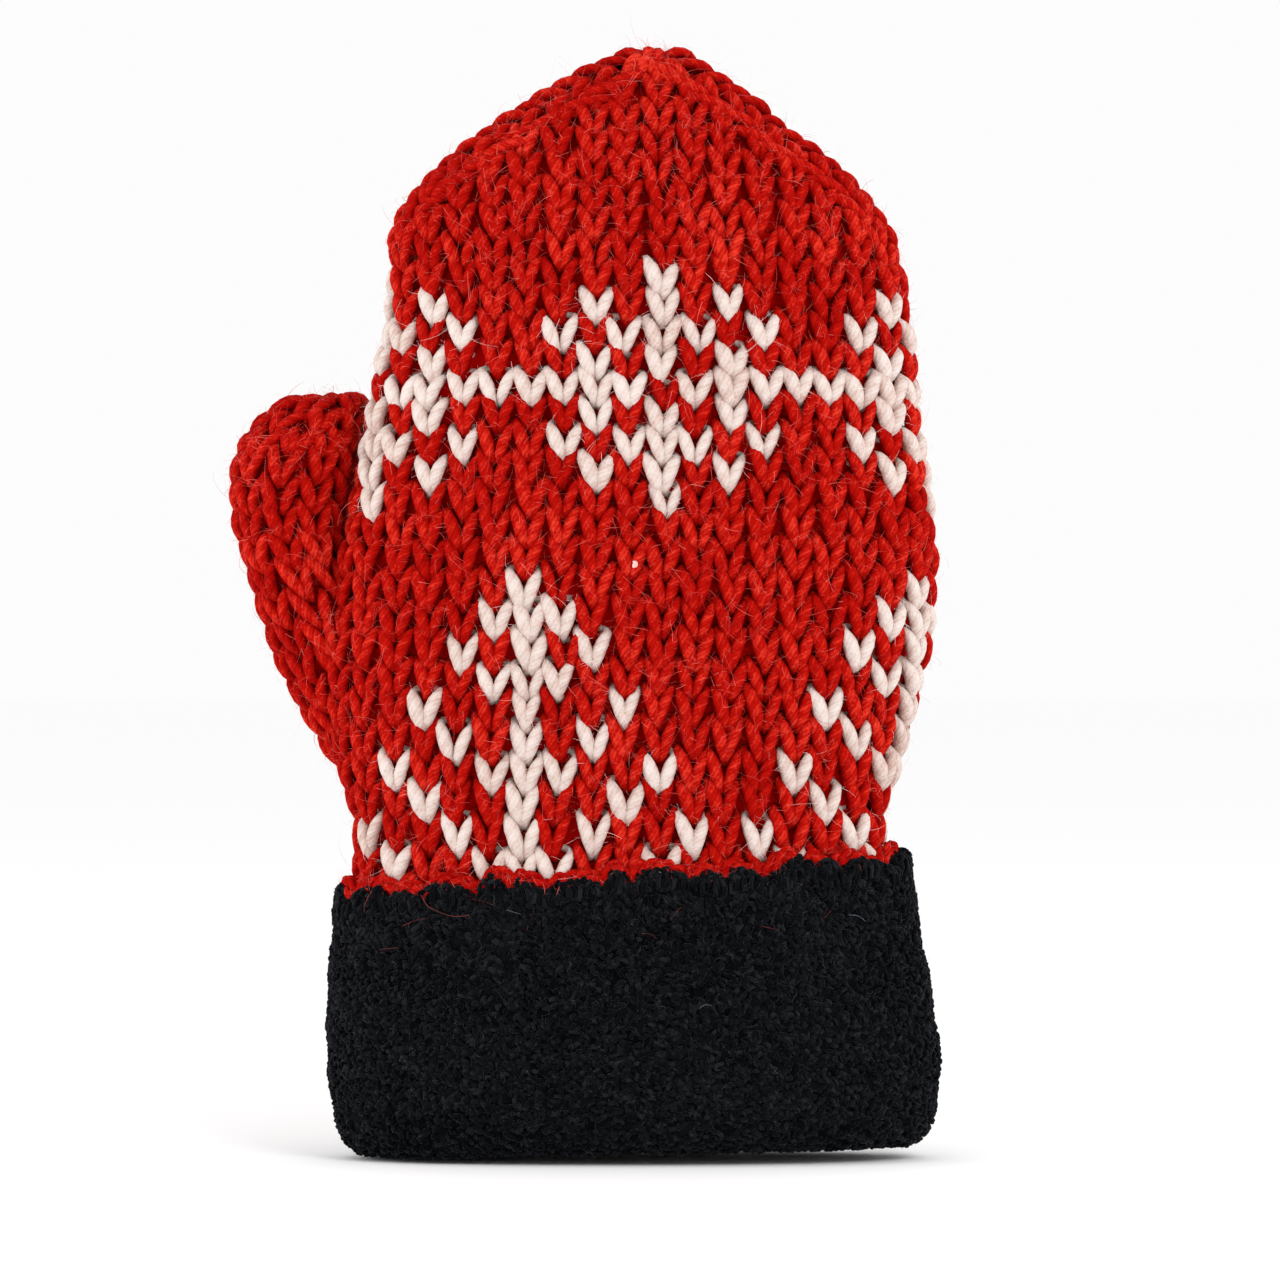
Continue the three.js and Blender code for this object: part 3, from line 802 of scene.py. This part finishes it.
def fleece_path(share, along):
    """The pile side of the fleece, in four stages.

    It goes from 0 to 1 round the rim, to 2 down the cuff, to 3 under the fold and to 4 up inside."""
    share, along = np.broadcast_arrays(share, along)
    edge, puff = cuff_edge(share)
    shell = SHELL_TUBE.at(share, edge)[0]
    outer = CUFF_TUBE.at(share, edge - 3)[0]
    q = np.clip(along, 0, 1)[..., None]
    rim = shell + (outer - shell) * np.sin(q * np.pi / 2) ** 1.5
    rim[..., 2] = edge - 1.6 + (1.4 + 0.7 * puff) * np.sin(q[..., 0] * np.pi * 0.85) - 1.2 * q[..., 0] ** 3
    top = edge - 3
    ripple = 0.25 * np.sin(share * 57) + 0.2 * np.sin(along * 21 + share * 31)
    wall = CUFF_TUBE.at(share, top + (FOLD - top) * np.clip(along - 1, 0, 1), ripple)[0]
    turn = np.clip(along - 2, 0, 1)[..., None] * np.pi
    down, up = CUFF_TUBE.at(share, FOLD)[0], CAVITY_TUBE.at(share, FOLD)[0]
    fold = down + (up - down) * (1 - np.cos(turn)) / 2
    # the hem lifts towards the little finger's side, and more at the back
    past_corner = np.clip((down[..., 0] + 28) / 5, 0, 1) * np.clip(-down[..., 1] / 8, 0, 1)
    hem = 1.1 + 0.012 * (down[..., 0] + 45) + 1.1 * past_corner * (1 + np.cos(turn[..., 0])) / 2
    fold[..., 2] = FOLD - (FOLD - hem) * np.sin(turn[..., 0])
    inside_wall = CAVITY_TUBE.at(share, FOLD + (LINING_TOP - FOLD) * np.clip(along - 3, 0, 1))[0]
    a = along[..., None]
    return np.where(a < 1, rim, np.where(a < 2, wall, np.where(a < 3, fold, inside_wall)))


def fleece_frame(share, along):
    """Points on the pile side and the normals there."""
    step = 1e-3
    point = fleece_path(share, along)
    round_way = fleece_path(share + step, along) - point
    down_way = fleece_path(share, along + 0.01) - point
    round_way /= np.linalg.norm(round_way, axis=-1, keepdims=True) + 1e-9
    down_way /= np.linalg.norm(down_way, axis=-1, keepdims=True) + 1e-9
    normal = np.cross(down_way, round_way)
    normal /= np.linalg.norm(normal, axis=-1, keepdims=True) + 1e-9
    return point, normal


STAGES = (6, 45, 21, 65)  # steps in each stage of fleece_path
ALONG = np.concatenate([stage + np.arange(steps) / steps for stage, steps in enumerate(STAGES)] + [[4.0]])
PANELS = {"back": (0.0, 0.5), "palm": (0.5, 1.0)}
NUBS, HAIRS = 11000, 7000  # to a panel
ROUND_CLOTH = 224  # mean of the ways round the cuff's outside and its inside
WAY = ((0, 1, 2, 3, 4), (0, 4, 47, 71, 259))  # mm down the cloth at each stage of fleece_path
for face, (first, last) in PANELS.items():
    share = np.linspace(first, last, 150)[:, None]
    point, normal = fleece_frame(share, ALONG[None])
    rough = RNG.normal(0, 0.12, point.shape[:2]) * (ALONG[None] < 3)
    cloth = point + normal * (rough - 0.35)[..., None]
    panel = sheet_mesh(f"fleece_{face}", cloth, keep=outside_of(THUMB, 4.6, thumb_y), thickness=2.1)
    nodes = (f"cuff_and_lining_{face}", f"lining_fingers_{face}")
    finish_piece(panel, FLEECE, FINGERS, LINING_BLEND, nodes)

    # nubs of pile: short bent worms that follow the cloth, with both ends in it
    spot = RNG.uniform(0, 1, NUBS)
    on_rim, on_cuff, on_fold = (RNG.uniform(*stage, NUBS) for stage in ((0.25, 1), (1, 2), (2, 3.08)))
    along = np.where(spot < 0.07, on_rim, np.where(spot < 0.74, on_cuff, on_fold))
    share = RNG.uniform(first - 0.002, last + 0.002, NUBS)
    angle = RNG.uniform(0, 2 * np.pi, NUBS)
    size = RNG.uniform(0.4, 0.85, NUBS)
    bend = RNG.uniform(-0.8, 0.8, NUBS)
    step = np.linspace(-1, 1, 6)[None]
    ahead, aside = size[:, None] * step, (bend * size)[:, None] * (step**2 - 0.4)
    round_mm = ahead * np.cos(angle)[:, None] - aside * np.sin(angle)[:, None]
    down_mm = ahead * np.sin(angle)[:, None] + aside * np.cos(angle)[:, None]
    way = np.interp(along, *WAY)[:, None] + down_mm
    point, normal = fleece_frame(share[:, None] + round_mm / ROUND_CLOTH, np.interp(way, *WAY[::-1]))
    lift = RNG.uniform(-0.15, 0.35, (NUBS, 1)) * (1 - step**2) - 0.6 * step**4
    paths = point + normal * lift[..., None]
    thick = RNG.uniform(0.3, 0.46, (NUBS, 1)) * (1.05 - 0.4 * step**2)
    paths[..., 2] = np.maximum(paths[..., 2], thick + 0.05)
    # painted highlight: each nub is paler along its raised middle, a few nubs far more than most, and its
    # ends in the cloth stay dark
    shade = (RNG.exponential(0.3, (NUBS, 1)) - 0.1).clip(-0.1, 1.3) * (1 - step**2)
    nubs = tube_mesh(f"fleece_nubs_{face}", paths, thick, sides=5, tone=shade)
    finish_piece(nubs, FLEECE, "hand")
    hairs = fibres(paths, thick, normal, HAIRS, 0.6, 0.05, longest=1.3, steps=3, span=(1, 5))
    finish_piece(ribbon_mesh(f"fleece_hairs_{face}", hairs), FLEECE_FIBRE, "hand")

# ------------------------ yarn that holds the cuff's edge
def strands(path, count, reach, turns):
    """Paths that wind round a closed line: (count, n, 3)."""
    around = np.linspace(0, 2 * np.pi * turns, path.shape[0])
    ahead = np.gradient(path, axis=0)
    ahead /= np.linalg.norm(ahead, axis=-1, keepdims=True)
    up = np.array([0, 0, 1.0])
    out = np.cross(ahead, up)
    out /= np.linalg.norm(out, axis=-1, keepdims=True)
    up = np.cross(out, ahead)
    phases = [(around + k * 2 * np.pi / count)[:, None] for k in range(count)]
    return np.stack([path + reach * (np.cos(phase) * out + np.sin(phase) * up) for phase in phases])


EDGE_STEPS = 700  # points round the cuff's edge
share = np.linspace(0, 1, EDGE_STEPS)
edge, puff = cuff_edge(share)
line = SHELL_TUBE.at(share, edge, 0.9)[0]
line[:, 2] = edge + 0.2 + 0.5 * puff
edge_yarn = strands(line, 3, 0.85, 31)
edge_yarn += RNG.normal(0, 0.05, edge_yarn.shape)
thick = 0.78 * (1 + 0.1 * np.sin(np.linspace(0, 900, EDGE_STEPS)))[None].repeat(3, axis=0)
piece = tube_mesh("cuff_edge_chain", edge_yarn, thick, ply=0.05, tone=np.array([0.4, 0.45, 0.35]))
finish_piece(piece, RED, "hand", stands_for=("cuff_edge_yarn",))
edge_normals = np.repeat(SHELL_TUBE.at(share, edge)[1][None], 3, axis=0)
fuzz = fibres(edge_yarn, thick, edge_normals, 2200, 0.9, FUZZ_WIDTH, longest=3, span=(5, EDGE_STEPS - 10))
finish_piece(ribbon_mesh("cuff_edge_fibres", fuzz), RED_FIBRE, "hand")

# ------------------------ white yarn carried behind the patterns
FLOAT_TUBE = Tube(HAND, inset=KNIT + 0.7)
FLOATS = {
    "tree": range(TREE_TOP - TREE_ROWS + 1, TREE_TOP + 1),
    "snowflake": range(FLAKE_MIDDLE - FLAKE_REACH, FLAKE_MIDDLE + FLAKE_REACH + 1),
}
BESIDE_THUMB = slice(12, 168)  # points of a row that stops each side of the thumb's opening
share = np.linspace(0.0, 1.0, 181)
sway = 0.15 * np.cos(share * 113)
for name, rows in FLOATS.items():
    heights = [ROWS[row] + 3 + 0.5 * np.sin(share * 226 + row) for row in rows]
    lines = np.stack([FLOAT_TUBE.at(share, height, sway)[0] for height in heights])
    if name == "tree":
        lines = lines[:, BESIDE_THUMB]
    thick = np.full(lines.shape[:2], 0.45)
    piece = tube_mesh(f"{name}_floats", lines, thick, sides=6, tone=np.full(len(lines), 0.4))
    finish_piece(piece, WHITE, FINGERS, KNUCKLE_BLEND, (f"{name}_band_white_yarn",))

# ------------------------ lining of the thumb
lining = Tube(THUMB, inset=3.7, middle_y=thumb_y)
for part, heights in (("lower", np.arange(72, 107, 1.2)), ("upper", np.arange(105.5, 139, 1.2))):
    bodies, blend = WHERE["thumb_" + part]
    grid = tube_grid(lining, heights, 72, RNG.normal(0, 0.12, (len(heights), 72)))
    piece = sheet_mesh(f"thumb_lining_{part}", grid, keep=outside_of(HAND, 4.6), thickness=1.8, wrap=True)
    nodes = ("lining_thumb_gusset", "lining_thumb_lower") if part == "lower" else ("lining_thumb",)
    finish_piece(piece, FLEECE, bodies, blend, nodes)

# ------------------------ sewing thread of the lining's seams
def seam_line(edge, low, high):
    """A zigzag of thread up the cavity's side."""
    z = np.arange(low, high, 0.6)
    share = (edge + 0.0025 * np.where((np.arange(len(z)) // 2) % 2, 1, -1)) % 1.0
    return Tube(HAND, inset=CAVITY + 0.75).at(share, z)[0][None]


for name, edge, low, high, nodes in (
    ("thumb_side", 0.0, 6, 66, ("seam_thread_thumb_side",)),
    ("little_finger_side", 0.5, 6, 166, ("seam_thread_little_finger_side", "seam_thread_fingers")),
):
    line = seam_line(edge, low, high)
    thick = np.full(line.shape[:2], 0.3)
    piece = tube_mesh(f"seam_stitches_{name}", line, thick, sides=6, tone=np.array([0.4]))
    finish_piece(piece, THREAD, FINGERS, KNUCKLE_BLEND, nodes)

# ------------------------ gathered ends
def gather(name, centre, reach, body, node):
    """Yarn drawn up in a coil and pushed through its own middle."""
    t = np.linspace(0, 1, 60)
    angle = t * 2 * np.pi * 2.3
    coil = np.stack([
        centre[0] + reach[0] * (1 - 0.85 * t) * np.cos(angle),
        centre[1] + reach[1] * (1 - 0.85 * t) * np.sin(angle),
        centre[2] + reach[2] * np.sin(t * np.pi * 0.9) - 2.2 * np.clip(t - 0.85, 0, 1) / 0.15,
    ], axis=-1)[None]
    piece = tube_mesh(name, coil, np.full(coil.shape[:2], 0.95), ply=0.05, tone=np.array([0.36]))
    return finish_piece(piece, RED, body, stands_for=(node,))


gather("crown_knot", (13.4, 0, 203.4), (3.6, 1.5, 1.6), "fingers", "crown_gather")
gather("thumb_knot", (-53.6, 9.2, 139.2), (3.4, 2.6, 1.2), "thumb", "thumb_gather")

# ------------------------ stray fibres and lint on the back
def on_back(tube, x, z, out):
    """Points on the back of a tube at given x and z."""
    share = np.linspace(0, 0.5, 400)
    where = [np.interp(a, tube.at(share, b)[0][:, 0], share) for a, b in zip(x, z)]
    return tube.at(np.array(where), z, out)[0]


def stray(name, tube, spots, width, out, material):
    """A loose fibre lying on the fabric through (x, z) spots."""
    line = spline(np.array(spots, float)[None], 24)[0]
    path = on_back(tube, line[:, 0], line[:, 1], out)[None]
    piece = tube_mesh(name, path, np.full(path.shape[:2], width / 2), sides=5)
    finish_piece(piece, material, "hand")


RED_STRAY = [(-30, 50), (-28.5, 47.8), (-24.4, 46.2), (-21.2, 46.4)]
stray("red_fibre_on_cuff", CUFF_TUBE, RED_STRAY, 0.11, 1.05, RED_LINT)
WHITE_CURL = [(8.7, 110.7), (9.3, 110.8), (9.3, 111.3), (8.8, 111.3)]
stray("white_lint_on_hand", HAND_TUBE, WHITE_CURL, 0.75, 1.9, WHITE_FIBRE)
LINT_SPOTS = ((-36, 40), (-13, 47), (12, 43), (22, 30), (34, 44), (50, 46))  # x and z of each fibre's middle
for pick, middle in enumerate(LINT_SPOTS):
    angle, reach, bend = RNG.uniform(-0.5, 0.5), RNG.uniform(1.0, 1.8), RNG.uniform(-0.5, 0.5)
    step = np.linspace(-1, 1, 4)
    ahead, aside = reach * step, bend * step**2
    spots = np.stack([
        middle[0] + ahead * math.cos(angle) - aside * math.sin(angle),
        middle[1] + ahead * math.sin(angle) + aside * math.cos(angle),
    ], axis=-1)
    material, slot = (LINT, "white_wool") if pick % 2 else (RED_LINT, "red_wool")
    stray(f"lint_{pick + 1}", CUFF_TUBE, spots, 0.07, 1.0, material)

# ------------------------ camera, light and floor
scene = bpy.context.scene
VIEW = 236.8  # across the picture
DISTANCE = 1150
NEAR = 15  # how far in front of the mitten's middle VIEW is measured
SENSOR = 36
CENTRE = (10.1, 97.1)  # x and z that the camera looks at
camera = bpy.data.objects.new("camera", bpy.data.cameras.new("camera"))
camera.data.sensor_width = SENSOR
camera.data.lens = SENSOR * (DISTANCE - NEAR) / VIEW
camera.location = Vector((CENTRE[0], -DISTANCE, CENTRE[1])) * MM
camera.rotation_euler = (math.pi / 2, 0, 0)
scene.collection.objects.link(camera)
scene.camera = camera

world = bpy.data.worlds.new("studio")
world.use_nodes = True
background = world.node_tree.nodes["Background"]
background.inputs["Color"].default_value = (1, 1, 1, 1)
background.inputs["Strength"].default_value = 0.98
scene.world = world
scene.view_settings.view_transform = "Standard"


def area_light(name, place, size, power):
    """A square light that faces the mitten's middle."""
    light = bpy.data.lights.new(name, "AREA")
    light.size = size * MM
    light.energy = power
    lamp = bpy.data.objects.new(name, light)
    lamp.location = Vector(place) * MM
    towards = Vector((10, 0, 95)) * MM - lamp.location
    lamp.rotation_euler = towards.to_track_quat("-Z", "Y").to_euler()
    scene.collection.objects.link(lamp)


area_light("key", (520, -900, 760), 500, 4.6)
area_light("fill", (-700, -900, 300), 700, 1.0)
area_light("left_side", (-760, -120, 160), 300, 1.8)
area_light("right_side", (780, -120, 160), 300, 0.9)

FLOOR = 9000  # from its middle to its edges
floor_corners = np.array([(-FLOOR, -FLOOR, 0), (FLOOR, -FLOOR, 0), (FLOOR, FLOOR, 0), (-FLOOR, FLOOR, 0)])
floor = mesh_piece("floor", floor_corners, np.array([[0, 1, 2, 3]]))
pale = Shading("pale_floor")
pale.shader.inputs["Base Color"].default_value = (0.99, 0.99, 0.99, 1)
pale.shader.inputs["Roughness"].default_value = 1.0
pale.shader.inputs["Specular IOR Level"].default_value = 0.0
floor.data.materials.append(pale.material)

bpy.context.view_layer.update()
